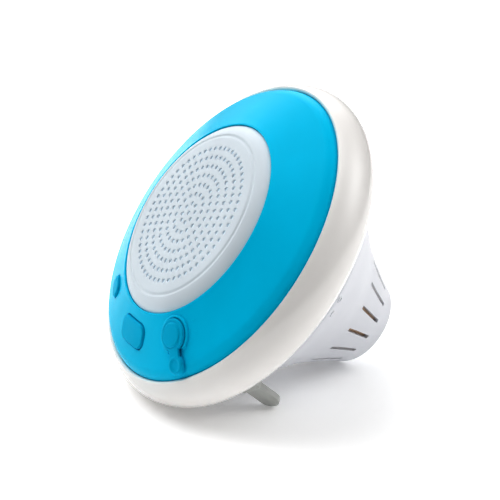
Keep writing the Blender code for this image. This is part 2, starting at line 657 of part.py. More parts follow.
def make_slot(number):
    """A cutter for one slot, lying along the bell's flank with round ends."""
    top = Vector((36.9, SLOT_TOP))
    bottom = Vector((26.3, SLOT_BOTTOM))
    middle = (top + bottom) / 2.0
    length = (top - bottom).length
    lean = math.degrees(math.atan2(top.x - bottom.x, top.y - bottom.y))
    bearing = SLOT_PHASE + 360.0 * number / SLOT_COUNT
    shape = bmesh.new()
    half = SLOT_WIDTH / 2.0
    outline = []
    for end, start in ((1.0, 0.0), (-1.0, 180.0)):
        for step in range(4):
            turn = math.radians(start + 60.0 * step)
            outline.append((half * math.cos(turn),
                            end * (length / 2.0 - half) + half * math.sin(turn)))
    ring = [shape.verts.new((x * MM, 5.0 * MM, z * MM)) for x, z in outline]
    face = shape.faces.new(ring)
    made = bmesh.ops.extrude_face_region(shape, geom=[face])
    moved = [item for item in made["geom"] if isinstance(item, bmesh.types.BMVert)]
    bmesh.ops.translate(shape, vec=(0.0, -10.0 * MM, 0.0), verts=moved)
    bmesh.ops.recalc_face_normals(shape, faces=shape.faces)
    mesh = bpy.data.meshes.new(f"slot_{number}")
    shape.to_mesh(mesh)
    shape.free()
    slot = finish_object(f"slot_{number}", mesh, None, AXIS, CUTTERS,
                         polar(bearing, middle.x, middle.y))
    turn = Matrix.Rotation(math.radians(bearing), 4, "Z")
    tip = Matrix.Rotation(math.radians(lean), 4, "X")
    slot.rotation_euler = (turn @ tip).to_euler()
    return slot


# ---------------------------------------------------------------- stand legs
def leg_frame_matrix(side):
    """Frame of a leg's hinge: +Z up towards the ring, +Y in to the axis, X along the rim."""
    place = Matrix.Translation(polar(side * LEG_BEARING, LEG_HINGE_RADIUS, LEG_HINGE_HEIGHT))
    turn = Matrix.Rotation(math.radians(side * LEG_BEARING), 4, "Z")
    splay = Matrix.Rotation(math.radians(-LEG_SPLAY), 4, "X")
    return place @ turn @ splay


def make_leg(label, side):
    """A fold-out leg, the bracket it turns in, its pin and the bracket's screw."""
    frame = make_empty(f"leg_{label}_frame", AXIS, leg_frame_matrix(side))
    half = LEG_WIDTH / 2.0
    flat = (math.radians(90.0), 0.0, 0.0)
    leg = box(f"stand_leg_{label}", (LEG_WIDTH, LEG_REACH + half, LEG_THICKNESS), "leg_grey",
              frame, at=(0, 0, (half - LEG_REACH) / 2.0), corner=half - 0.1, segments=8)
    leg.rotation_euler = flat
    eye = rod(f"eye_{label}", LEG_PIN_RADIUS + GAP, -8.0, 8.0, None, 12, frame, CUTTERS)
    eye.rotation_euler = flat
    cut_all(leg, [eye])
    depth = LEG_THICKNESS + 2.0 * (GAP + 1.4)
    bracket = box(f"leg_bracket_{label}", (12.4, depth, BRACKET_TOP - BRACKET_BOTTOM),
                  "leg_grey", frame, at=(side * 1.0, 0, (BRACKET_TOP + BRACKET_BOTTOM) / 2.0))
    slot = box(f"bracket_slot_{label}", (14.0, LEG_THICKNESS + 2.0 * GAP, 20.0), None, frame,
               CUTTERS, at=(side * (half + 0.4 - 7.0), 0, 0))
    flange = box(f"bracket_flange_{label}", (9.0, depth, 1.6), None, frame, CUTTERS,
                 at=(side * 10.6, 0, BRACKET_TOP - 0.8))
    hole = rod(f"flange_hole_{label}", 1.3, -2.0, 12.0, None, 8, frame, CUTTERS,
               at=(side * BRACKET_SCREW_OFFSET, 0, 0))
    pin_hole = rod(f"pin_hole_{label}", LEG_PIN_RADIUS + GAP, -8.0, 8.0, None, 12, frame, CUTTERS)
    pin_hole.rotation_euler = flat
    join_all(bracket, [flange])
    cut_all(bracket, [slot, hole, pin_hole])
    pin = rod(f"leg_pin_{label}", LEG_PIN_RADIUS, -depth / 2.0, depth / 2.0, "steel", 12, frame)
    pin.rotation_euler = flat


def make_leads():
    """The leads that join the boards, the loudspeaker and the battery."""
    wire("speaker_lead", smooth_path([(-24.5, 8.0, -3.4), (-31.0, 9.0, -5.0), (-36.5, 6.0, -9.0),
                                      (-37.0, 3.0, -12.8)]), 0.7, "wire_red")
    wire("light_lead", smooth_path([(0.0, 45.0, 6.4), (0.0, 45.0, 2.0), (2.0, 42.0, -5.0),
                                    (3.0, 38.0, -12.8)]), 0.8, "wire_red")
    wire("battery_lead", smooth_path([(6.0, 2.0, -19.4), (6.0, 2.0, -18.4), (9.0, 3.0, -16.4),
                                      (9.0, 3.0, -15.3)]), 0.7, "wire_red")


# ---------------------------------------------------------------- assembly
FASCIA = make_fascia()
make_lens()
make_lens_gasket()
make_baffle()
make_fascia_screws()
make_lights()
make_driver()
CROWN = envelope("button_crown", BUTTON_RISE)
make_button("power", POWER_FRAME, POWER_SIZE, CROWN)
make_button("mode", MODE_FRAME, MODE_SIZE, CROWN)
cut_all(FASCIA, [make_port()])
make_float_ring()
make_bay()
make_tail()
make_leg("right", 1.0)
make_leg("left", -1.0)
make_leads()
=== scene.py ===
import json
import math

import bmesh
import bpy
from mathutils import Matrix, Vector


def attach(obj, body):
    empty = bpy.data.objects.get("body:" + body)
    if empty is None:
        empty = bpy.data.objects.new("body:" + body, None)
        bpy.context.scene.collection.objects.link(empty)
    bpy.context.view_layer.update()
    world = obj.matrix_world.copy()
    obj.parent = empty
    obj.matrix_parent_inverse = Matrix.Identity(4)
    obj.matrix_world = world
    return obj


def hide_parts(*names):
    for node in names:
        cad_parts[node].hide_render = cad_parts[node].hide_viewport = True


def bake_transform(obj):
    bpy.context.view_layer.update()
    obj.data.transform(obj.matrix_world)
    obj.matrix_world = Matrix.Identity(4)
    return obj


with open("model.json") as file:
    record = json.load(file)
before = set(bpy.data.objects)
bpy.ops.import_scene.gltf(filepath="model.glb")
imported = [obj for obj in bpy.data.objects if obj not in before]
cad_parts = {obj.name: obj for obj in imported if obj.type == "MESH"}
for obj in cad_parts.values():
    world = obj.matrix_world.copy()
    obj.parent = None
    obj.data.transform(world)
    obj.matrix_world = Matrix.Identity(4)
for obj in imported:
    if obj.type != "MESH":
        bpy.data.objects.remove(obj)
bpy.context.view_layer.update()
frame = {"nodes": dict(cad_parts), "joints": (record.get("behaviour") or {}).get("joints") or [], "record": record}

MM = 0.001
ROUND = 320                 # steps round the lens and the tail
RIM_ROUND = 400             # steps round the fascia and the float ring

# The frame of the speaker's axis: +Z out of the face, +X to the right, -Y down the face
JOINTS = {joint["name"]: joint for joint in frame["joints"]}
SEAM = Vector(JOINTS["tail_twist"]["pos_m"])
AXIS_Z = Vector(JOINTS["tail_twist"]["axis"]).normalized()
AXIS_X = Vector((1.0, 0.0, 0.0))
AXIS = Matrix((AXIS_X, AXIS_Z.cross(AXIS_X), AXIS_Z)).transposed().to_4x4()
AXIS.translation = SEAM

# Sizes in millimetres, which repeat the CAD's. Only the seam, the lens, the ring's lip and the
# buttons' rise differ, by up to 0.25, for closer joints.
SEAM_RADIUS = 77.75
LENS_RADIUS = 50.2
MOUTH_HEIGHT = 14.5
FASCIA_SLOPE = 0.44
ROLL_START = 73.3
ROLL_RADIUS = 7.56
FASCIA_WALL = 2.45
ROLL_END = 76.0                     # degrees from the axis to the roll's normal at its end
ROLL_WALL = 2.3
BAFFLE_EDGE_RADIUS = 53.2
DOME_RADIUS = 42.1
DOME_HEIGHT = 19.1
DOME_EDGE_RADIUS = 41.0
DOME_DROP = 1.15                    # fall of the dome from its middle to its edge
GRILLE_RINGS = 8
GRILLE_PITCH = 5.03                 # between the rings of holes
GRILLE_STEP = 8                     # holes that each ring has more than the last one
CLOTH_RADIUS = 38.5
CLOTH_HEIGHT = 18.15
CLOTH_DROP = 1.2
RING_CENTRE = (70.4, -11.6)
RING_TUBE = 14.6
RING_WALL = 2.0
RING_LIP_RADIUS = 77.82
RING_CREST_RADIUS = 79.3
RING_UNDER_RADIUS = 64.2            # where the ring's section meets the tail's socket
COLLAR_RADIUS = 63.4
NECK_RADIUS = 59.2
NECK_TOP = -20.6
TAIL_END = -99.4
TAIL_WALL = 2.0
SLOT_COUNT = 18
SLOT_PHASE = 2.0
SLOT_WIDTH = 1.9
SLOT_TOP = (36.9, -69.4)            # radius and height of a slot's ends
SLOT_BOTTOM = (26.3, -89.4)
LINER_TOP = -66.0
LINER_BOTTOM = -91.5
LINER_INSET = 2.6                   # from the bell's outside in to the liner
LINER_WALL = 0.4
LOCK_LEAN = 126.0                   # from the axis to the marks' outward direction
CONTROL_RADIUS = 61.6
POWER_SIZE = (23.0, 12.0, 4.5)      # width, height and corner radius
POWER_BEARING = 0.8
MODE_SIZE = (10.4, 8.4, 3.2)
MODE_BEARING = -35.5
PORT_BEARING = 35.3
PORT_RADIUS = 60.8
ANCHOR_RADIUS = 73.6
BUTTON_CLEARANCE = 0.45
BUTTON_RISE = 1.1
LEG_BEARING = 36.9
LEG_SPLAY = 5.6
LEG_HINGE_RADIUS = 64.1
LEG_HINGE_HEIGHT = -34.42
LEG_WIDTH = 10.2
LEG_THICKNESS = 3.2
LEG_REACH = 21.25
LEG_PIN_RADIUS = 1.5
BRACKET_TOP = 8.2
BRACKET_BOTTOM = -4.6
BRACKET_WIDTH = 12.4
FLANGE_SIZE = (9.0, 1.6)            # width and height
FLANGE_OFFSET = 10.6
BRACKET_SCREW_OFFSET = 10.4
BRACKET_SLOT_HALF = 1.9             # half the width of the slot that the leg turns in

# The camera: degrees round to the right of the front and up, and millimetres to the point that
# it looks at, which is given from the middle of the seam
VIEW_BEARING = 64.18
VIEW_ELEVATION = 20.0
VIEW_DISTANCE = 857.1
VIEW_AIM = (9.4, 12.5, -8.3)
VIEW_LENS = 129.6

# The studio: the floor's paint and faint glow, and the surround's soft lights, each with its
# direction, strength and sharpness
FLOOR_COLOUR = (0.93, 0.93, 0.93, 1.0)
FLOOR_GLOW = 0.2
LIGHTS = (((0.0, 0.0, 1.0), 0.7, 12.0), ((0.3, 0.6, 0.7), 3.75, 12.0),
          ((-0.8, 0.3, 0.5), 2.1, 12.0), ((-0.9, -0.3, 0.25), 1.65, 12.0),
          ((-0.6, -0.7, 0.35), 0.67, 12.0), ((-0.3, -0.3, 0.9), 3.9, 12.0))
CONTRAST = 1.5              # power on the shown picture, which deepens its darker tones


# ---------------------------------------------------------------- camera, floor and light
def make_camera():
    """A camera at the photograph's viewing angle."""
    turn = math.radians(VIEW_BEARING)
    lift = math.radians(VIEW_ELEVATION)
    look = Vector((-math.sin(turn) * math.cos(lift), math.cos(turn) * math.cos(lift),
                   -math.sin(lift)))
    lens = bpy.data.cameras.new("camera")
    lens.sensor_width = 36.0
    lens.lens = VIEW_LENS
    camera = bpy.data.objects.new("camera", lens)
    bpy.context.scene.collection.objects.link(camera)
    camera.location = SEAM + (Vector(VIEW_AIM) - look * VIEW_DISTANCE) * MM
    camera.rotation_euler = look.to_track_quat("-Z", "Y").to_euler()
    bpy.context.scene.camera = camera


def make_floor():
    """A plain pale floor that glows a little, for soft shadows."""
    shape = bmesh.new()
    bmesh.ops.create_grid(shape, x_segments=8, y_segments=8, size=4.0)
    mesh = bpy.data.meshes.new("studio_floor")
    shape.to_mesh(mesh)
    shape.free()
    floor = bpy.data.objects.new("studio_floor", mesh)
    bpy.context.scene.collection.objects.link(floor)
    floor.location.z = -0.0002
    paint = bpy.data.materials.new("studio_floor")
    paint.use_nodes = True
    shader = paint.node_tree.nodes["Principled BSDF"]
    shader.inputs["Base Color"].default_value = FLOOR_COLOUR
    shader.inputs["Roughness"].default_value = 0.9
    shader.inputs["Specular IOR Level"].default_value = 0.1
    shader.inputs["Emission Color"].default_value = (1.0, 1.0, 1.0, 1.0)
    shader.inputs["Emission Strength"].default_value = FLOOR_GLOW
    mesh.materials.append(paint)


def make_surround():
    """A white surround that is brighter overhead, behind and at the left."""
    world = bpy.data.worlds.new("studio")
    bpy.context.scene.world = world
    world.use_nodes = True
    nodes = world.node_tree.nodes
    links = world.node_tree.links
    place = nodes.new("ShaderNodeTexCoord")
    total = None
    for direction, strength, sharpness in LIGHTS:
        facing = nodes.new("ShaderNodeVectorMath")
        facing.operation = "DOT_PRODUCT"
        facing.inputs[1].default_value = Vector(direction).normalized()
        links.new(place.outputs["Generated"], facing.inputs[0])
        lit = nodes.new("ShaderNodeClamp")
        links.new(facing.outputs["Value"], lit.inputs["Value"])
        fall = nodes.new("ShaderNodeMath")
        fall.operation = "POWER"
        fall.inputs[1].default_value = sharpness
        links.new(lit.outputs["Result"], fall.inputs[0])
        add = nodes.new("ShaderNodeMath")
        add.operation = "MULTIPLY_ADD"
        add.inputs[1].default_value = strength
        add.inputs[2].default_value = 0.0
        links.new(fall.outputs["Value"], add.inputs[0])
        if total is not None:
            links.new(total, add.inputs[2])
        total = add.outputs["Value"]
    nodes["Background"].inputs["Color"].default_value = (1.0, 1.0, 1.0, 1.0)
    links.new(total, nodes["Background"].inputs["Strength"])


# ---------------------------------------------------------------- materials
class Finish:
    """Builds one procedural material round a Principled shader."""

    def __init__(self, name):
        self.material = bpy.data.materials.new(name)
        self.material.use_nodes = True
        self.nodes = self.material.node_tree.nodes
        self.links = self.material.node_tree.links
        self.shader = self.nodes["Principled BSDF"]
        self.place = self.nodes.new("ShaderNodeTexCoord")

    def fixed(self, **values):
        """Set constant values on the shader's own sockets."""
        for name, value in values.items():
            self.shader.inputs[name.replace("_", " ")].default_value = value

    def noise(self, scale, detail=3.0, rough=0.5, stretch=None):
        """A noise pattern in object space; scale is in features a metre."""
        texture = self.nodes.new("ShaderNodeTexNoise")
        texture.inputs["Scale"].default_value = scale
        texture.inputs["Detail"].default_value = detail
        texture.inputs["Roughness"].default_value = rough
        source = self.place.outputs["Object"]
        if stretch is not None:
            mapping = self.nodes.new("ShaderNodeMapping")
            mapping.inputs["Scale"].default_value = stretch
            self.links.new(source, mapping.inputs["Vector"])
            source = mapping.outputs["Vector"]
        self.links.new(source, texture.inputs["Vector"])
        return texture.outputs["Fac"]

    def ramp(self, source, stops):
        """A colour or grey ramp through (place, colour) stops."""
        ramp = self.nodes.new("ShaderNodeValToRGB")
        elements = ramp.color_ramp.elements
        for index, (spot, colour) in enumerate(stops):
            element = elements[index] if index < 2 else elements.new(spot)
            element.position = spot
            value = colour if isinstance(colour, tuple) else (colour, colour, colour)
            element.color = (*value, 1.0)
        self.links.new(source, ramp.inputs["Fac"])
        return ramp.outputs["Color"]

    def mix(self, share, under, over):
        """Mix two colours, each an output or a constant, by an output or a constant share."""
        mix = self.nodes.new("ShaderNodeMix")
        mix.data_type = "RGBA"
        for socket, value in ((mix.inputs[0], share), (mix.inputs[6], under),
                              (mix.inputs[7], over)):
            if isinstance(value, bpy.types.NodeSocket):
                self.links.new(value, socket)
            else:
                socket.default_value = (*value, 1.0) if isinstance(value, tuple) else value
        return mix.outputs[2]

    def edges(self, radius, low, high):
        """A mask of the convex and concave edges, from how far a bevel turns the normal."""
        bevel = self.nodes.new("ShaderNodeBevel")
        bevel.samples = 4
        bevel.inputs["Radius"].default_value = radius
        geometry = self.nodes.new("ShaderNodeNewGeometry")
        dot = self.nodes.new("ShaderNodeVectorMath")
        dot.operation = "DOT_PRODUCT"
        self.links.new(bevel.outputs["Normal"], dot.inputs[0])
        self.links.new(geometry.outputs["Normal"], dot.inputs[1])
        return self.ramp(dot.outputs["Value"], [(low, 1.0), (high, 0.0)])

    def colour(self, output):
        self.links.new(output, self.shader.inputs["Base Color"])

    def roughness(self, output):
        self.links.new(output, self.shader.inputs["Roughness"])

    def bump(self, *layers):
        """Stack bump layers of (height output, strength, distance in metres)."""
        normal = None
        for height, strength, distance in layers:
            bump = self.nodes.new("ShaderNodeBump")
            bump.inputs["Strength"].default_value = strength
            bump.inputs["Distance"].default_value = distance
            self.links.new(height, bump.inputs["Height"])
            if normal is not None:
                self.links.new(normal, bump.inputs["Normal"])
            normal = bump.outputs["Normal"]
        self.links.new(normal, self.shader.inputs["Normal"])


def shade(colour, factor):
    return tuple(min(1.0, channel * factor) for channel in colour)


def moulded(name, colour, rough, grain, grain_depth=0.00002, variation=0.03, wear=0.0,
            **fixed):
    """Moulded plastic: slight colour drift, smears in the gloss, mould grain, worn edges."""
    finish = Finish(name)
    finish.fixed(**fixed)
    paint = finish.ramp(finish.noise(28.0, 2.0), [(0.3, shade(colour, 1.0 - variation)),
                                                  (0.7, shade(colour, 1.0 + variation))])
    if wear:
        scuffs = finish.ramp(finish.noise(420.0, 4.0, 0.65), [(0.45, 0.0), (0.7, wear)])
        worn = finish.mix(scuffs, (0.0, 0.0, 0.0), finish.edges(0.0005, 0.9, 0.995))
        paint = finish.mix(worn, paint, shade(colour, 1.35))
    finish.colour(paint)
    smear = finish.noise(90.0, 4.0, 0.6)
    finish.roughness(finish.ramp(smear, [(0.35, rough * 0.85), (0.7, rough * 1.2)]))
    finish.bump((finish.noise(grain, 2.0), 0.12, grain_depth),
                (finish.noise(35.0, 1.0), 0.10, 0.0002))
    return finish.material


def speckled(name, colour, dark, rough, scale, **fixed):
    """A surface with a visible fine speckle, such as rubber, ferrite or a plated part."""
    finish = Finish(name)
    finish.fixed(**fixed)
    grain = finish.noise(scale, 5.0, 0.7)
    finish.colour(finish.ramp(grain, [(0.35, dark), (0.65, colour)]))
    finish.roughness(finish.ramp(finish.noise(scale * 0.3), [(0.3, rough * 0.85), (0.7, rough)]))
    finish.bump((grain, 0.3, 0.00005))
    return finish.material


def make_materials():
    """The finish of each of the record's material slots."""
    return {
        "blue_gloss": moulded("blue_gloss", (0.0, 0.605, 0.85), 0.2, 2600.0, wear=0.3,
                              Specular_IOR_Level=0.1, Specular_Tint=(0.0, 0.75, 1.0, 1.0)),
        "lens_frosted": moulded("lens_frosted", (0.72, 0.78, 0.825), 0.5, 3200.0,
                                Specular_IOR_Level=0.3),
        "ring_white": moulded("ring_white", (0.90, 0.88, 0.86), 0.18, 2600.0, variation=0.012,
                              wear=0.3, Coat_Weight=0.15, Coat_Roughness=0.1),
        "tail_white": moulded("tail_white", (0.765, 0.775, 0.81), 0.36, 3800.0, variation=0.012,
                              wear=0.3),
        "leg_grey": moulded("leg_grey", (0.60, 0.61, 0.59), 0.34, 3800.0, wear=0.4),
        "blue_rubber": moulded("blue_rubber", (0.0, 0.52, 0.75), 0.5, 5200.0, 0.00004,
                               Specular_IOR_Level=0.1, Specular_Tint=(0.0, 0.75, 1.0, 1.0)),
        "black_plastic": moulded("black_plastic", (0.03, 0.03, 0.034), 0.42, 4000.0, 0.00005),
        "seal_rubber": speckled("seal_rubber", (0.035, 0.035, 0.035), (0.02, 0.02, 0.02), 0.7,
                                3000.0),
        "circuit_green": speckled("circuit_green", (0.02, 0.17, 0.06), (0.03, 0.24, 0.09), 0.35,
                                  500.0),
        "led_white": moulded("led_white", (0.88, 0.86, 0.70), 0.25, 3000.0),
        "paper_cone": speckled("paper_cone", (0.06, 0.06, 0.065), (0.035, 0.035, 0.04), 0.85,
                               2200.0),
        "steel": speckled("steel", (0.62, 0.62, 0.64), (0.5, 0.5, 0.52), 0.3, 1500.0,
                          Metallic=1.0),
        "ferrite": speckled("ferrite", (0.08, 0.08, 0.085), (0.05, 0.05, 0.055), 0.6, 2600.0),
        "copper": speckled("copper", (0.72, 0.36, 0.18), (0.55, 0.26, 0.12), 0.3, 2500.0,
                           Metallic=1.0),
        "battery_wrap": moulded("battery_wrap", (0.10, 0.18, 0.46), 0.3, 1800.0),
        "wire_red": moulded("wire_red", (0.5, 0.03, 0.03), 0.45, 3000.0),
    }


def cloth(name, colour, glow=0.0):
    """A thin cloth behind an opening: a fine weave, and a glow, when given, that is painted light lifting the
    shade in the opening.
    """
    finish = Finish(name)
    # Painted light: the emission brightens the cloth where the opening leaves it in shade.
    finish.fixed(Emission_Color=(*colour, 1.0), Emission_Strength=glow)
    weave = finish.noise(2400.0, 2.0, 0.5, (1.0, 1.0, 0.3))
    finish.colour(finish.ramp(weave, [(0.35, shade(colour, 0.85)), (0.65, colour)]))
    finish.roughness(finish.ramp(finish.noise(600.0), [(0.3, 0.8), (0.7, 0.95)]))
    finish.bump((weave, 0.4, 0.0001))
    return finish.material


MATERIALS = make_materials()
# The grille cloth's glow is painted light, which lightens the shade in the grille holes.
GRILLE_CLOTH_PAINTED_GLOW = cloth("grille_cloth_painted_glow", (0.66, 0.72, 0.76), 0.6)
SLOT_FELT = cloth("slot_felt", (0.62, 0.46, 0.34))


# ---------------------------------------------------------------- mesh tools
def polar(bearing, radius, height=0.0):
    """A point by its bearing from the lowest point of the face, radius and height."""
    turn = math.radians(bearing)
    return Vector((radius * math.sin(turn), -radius * math.cos(turn), height))


def metres(place):
    """A matrix whose translation is in millimetres, as one in metres."""
    out = place.copy()
    out.translation = place.translation * MM
    return out


def fillet(corners, pieces=6):
    """A line through (x, y, radius) corners, each rounded with its radius."""
    path = []
    for index, (x, y, radius) in enumerate(corners):
        here = Vector((x, y))
        if radius <= 0.0:
            path.append(here)
            continue
        before = Vector(corners[index - 1][:2]) - here
        after = Vector(corners[(index + 1) % len(corners)][:2]) - here
        reach = min(radius / math.tan(before.angle(after) / 2.0), before.length * 0.49,
                    after.length * 0.49)
        start = here + before.normalized() * reach
        stop = here + after.normalized() * reach
        for step in range(pieces + 1):
            t = step / pieces
            path.append(start * (1 - t) ** 2 + here * 2 * t * (1 - t) + stop * t * t)
    return [tuple(point) for point in path]


def signed_area(points):
    total = 0.0
    for (x0, y0), (x1, y1) in zip(points, points[1:] + points[:1]):
        total += x0 * y1 - x1 * y0
    return total / 2.0


def smooth(mesh, sharp=35.0):
    """Shade a mesh smooth up to an angle."""
    mesh.shade_smooth()
    mesh.set_sharp_from_angle(angle=math.radians(sharp))


def finish_mesh(shape, name):
    bmesh.ops.recalc_face_normals(shape, faces=shape.faces)
    mesh = bpy.data.meshes.new(name)
    shape.to_mesh(mesh)
    shape.free()
    return mesh


def wrap(name, mesh, place, sharp=35.0):
    """An object whose mesh is put in its place in the row's frame, shaded smooth."""
    mesh.transform(place)
    smooth(mesh, sharp)
    thing = bpy.data.objects.new(name, mesh)
    bpy.context.scene.collection.objects.link(thing)
    return thing


def lathe_mesh(name, profile, steps):
    """A closed mesh turned about Z from a closed outline in millimetres."""
    points = list(profile)
    if signed_area(points) > 0.0:
        points.reverse()
    shape = bmesh.new()
    rings = []
    for r, z in points:
        if r < 1e-6:
            rings.append([shape.verts.new((0.0, 0.0, z * MM))])
            continue
        turns = [math.tau * step / steps for step in range(steps)]
        rings.append([shape.verts.new((r * math.cos(turn) * MM, r * math.sin(turn) * MM, z * MM))
                      for turn in turns])
    for upper, lower in zip(rings, rings[1:] + rings[:1]):
        if len(upper) == 1 and len(lower) == 1:
            continue
        for step in range(steps):
            after = (step + 1) % steps
            corners = [upper[step % len(upper)], lower[step % len(lower)],
                       lower[after % len(lower)], upper[after % len(upper)]]
            shape.faces.new(list(dict.fromkeys(corners)))
    return finish_mesh(shape, name)


def stack_mesh(name, loops):
    """A closed mesh lofted through loops of equal length; a loop of one point is a tip."""
    shape = bmesh.new()
    rings = [[shape.verts.new(Vector(point) * MM) for point in loop] for loop in loops]
    for lower, upper in zip(rings, rings[1:]):
        for index in range(max(len(lower), len(upper))):
            after = index + 1
            corners = [lower[index % len(lower)], lower[after % len(lower)],
                       upper[after % len(upper)], upper[index % len(upper)]]
            shape.faces.new(list(dict.fromkeys(corners)))
    for end in (rings[0], rings[-1]):
        if len(end) > 2:
            shape.faces.new(end)
    return finish_mesh(shape, name)


def combine(thing, tools, operation="DIFFERENCE"):
    """Cut a piece by meshes in the row's frame, or join them to it, and keep the result."""
    joined = bmesh.new()
    for mesh in tools:
        joined.from_mesh(mesh)
        bpy.data.meshes.remove(mesh)
    tool_mesh = bpy.data.meshes.new("tool")
    joined.to_mesh(tool_mesh)
    joined.free()
    tool = bpy.data.objects.new("tool", tool_mesh)
    bpy.context.scene.collection.objects.link(tool)
    boolean = thing.modifiers.new("combine", "BOOLEAN")
    boolean.operation = operation
    boolean.solver = "EXACT"
    boolean.object = tool
    bpy.context.view_layer.update()
    evaluated = thing.evaluated_get(bpy.context.evaluated_depsgraph_get())
    result = bpy.data.meshes.new_from_object(evaluated)
    thing.modifiers.clear()
    old = thing.data
    thing.data = result
    bpy.data.meshes.remove(old)
    bpy.data.objects.remove(tool, do_unlink=True)
    bpy.data.meshes.remove(tool_mesh)
    smooth(result)


def placed(mesh, place):
    """The mesh moved to its place."""
    mesh.transform(place)
    return mesh


def rounded_outline(width, height, corner, offset=0.0, arc=8, side=10):
    """Points round a rounded rectangle, grown or shrunk by an offset."""
    radius = max(corner + offset, 0.05)
    middle = Vector((width / 2.0 + offset - radius, height / 2.0 + offset - radius))
    corners = []
    for sx, sy, start in ((1, 1, 0.0), (-1, 1, 90.0), (-1, -1, 180.0), (1, -1, 270.0)):
        for step in range(arc + 1):
            turn = math.radians(start + 90.0 * step / arc)
            corners.append(Vector((sx * middle.x, sy * middle.y))
                           + radius * Vector((math.cos(turn), math.sin(turn))))
    points = []
    for index, point in enumerate(corners):
        points.append(point)
        if index % (arc + 1) == arc:
            goal = corners[(index + 1) % len(corners)]
            points += [point.lerp(goal, step / side) for step in range(1, side)]
    return points


def circle(radius, count=48):
    turns = [math.tau * step / count for step in range(count)]
    return [Vector((radius * math.cos(turn), radius * math.sin(turn))) for turn in turns]


def arc(tube, start, stop, count):
    """Points of the ring's circular section between two angles from straight out."""
    points = []
    for step in range(count):
        turn = math.radians(start + (stop - start) * step / (count - 1))
        points.append((RING_CENTRE[0] + tube * math.cos(turn),
                       RING_CENTRE[1] + tube * math.sin(turn)))
    return points


def ring_angle(radius, tube, below):
    turn = math.degrees(math.acos((radius - RING_CENTRE[0]) / tube))
    return -turn if below else turn


def spline(points, pieces):
    """A smooth curve through the points."""
    ends = [points[0]] + list(points) + [points[-1]]
    path = []
    for before, start, stop, after in zip(ends, ends[1:], ends[2:], ends[3:]):
        for step in range(pieces):
            t = step / pieces
            path.append(tuple(
                0.5 * (2.0 * b + (c - a) * t + (2.0 * a - 5.0 * b + 4.0 * c - d) * t * t
                       + (3.0 * b - a - 3.0 * c + d) * t ** 3)
                for a, b, c, d in zip(before, start, stop, after)))
    path.append(tuple(points[-1]))
    return path


def dress(thing, body, slot, *nodes, finish=None):
    """Give a piece its body, its finish and the CAD nodes that it stands for."""
    thing.data.materials.clear()
    thing.data.materials.append(finish or MATERIALS[slot])
    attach(thing, body)
    if nodes:
        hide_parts(*nodes)


# ---------------------------------------------------------------- fascia and its controls
def fascia_height(radius):
    """Height of the fascia's surface: a straight cone that rolls over to the seam."""
    if radius <= ROLL_START:
        return MOUTH_HEIGHT - FASCIA_SLOPE * (radius - LENS_RADIUS)
    cone = math.atan(FASCIA_SLOPE)
    turn = math.asin(min(1.0, math.sin(cone) + (radius - ROLL_START) / ROLL_RADIUS))
    return fascia_height(ROLL_START) - ROLL_RADIUS * (math.cos(cone) - math.cos(turn))


def fascia_tilt(radius):
    step = 0.01
    slope = (fascia_height(radius + step) - fascia_height(radius - step)) / (2.0 * step)
    return math.atan(-slope)


def control_place(bearing, radius=CONTROL_RADIUS):
    """A frame on the fascia, in the axis frame: +Z out along its normal, -Y outward."""
    place = Matrix.Translation(polar(bearing, radius, fascia_height(radius)))
    turn = Matrix.Rotation(math.radians(bearing), 4, "Z")
    return place @ turn @ Matrix.Rotation(fascia_tilt(radius), 4, "X")


POWER_PLACE = control_place(POWER_BEARING)
MODE_PLACE = control_place(MODE_BEARING)
PORT_PLACE = control_place(PORT_BEARING, PORT_RADIUS)
ANCHOR_PLACE = control_place(PORT_BEARING, ANCHOR_RADIUS)


def rise(place, x, y):
    """Height of the fascia's surface over a point of a control's frame, along its normal."""
    height = 0.0
    for _ in range(6):
        point = place @ Vector((x, y, height))
        radius = math.hypot(point.x, point.y)
        height += (fascia_height(radius) - point.z) * math.cos(fascia_tilt(radius))
    return height


def well_mesh(place, outline, depth, rim=0.35):
    """A cutter for a hole in the fascia, flared so that the hole's rim is rounded."""
    loops = [[(p.x, p.y, -depth) for p in outline(0.0)]]
    for angle in (90.0, 65.0, 40.0, 20.0):
        turn = math.radians(angle)
        out = rim * (1.0 - math.sin(turn))
        drop = rim * (1.0 - math.cos(turn))
        loops.append([(p.x, p.y, rise(place, p.x, p.y) - drop) for p in outline(out)])
    loops.append([(p.x, p.y, rise(place, p.x, p.y) + 1.0) for p in outline(rim)])
    return placed(stack_mesh("well", loops), AXIS @ metres(place))


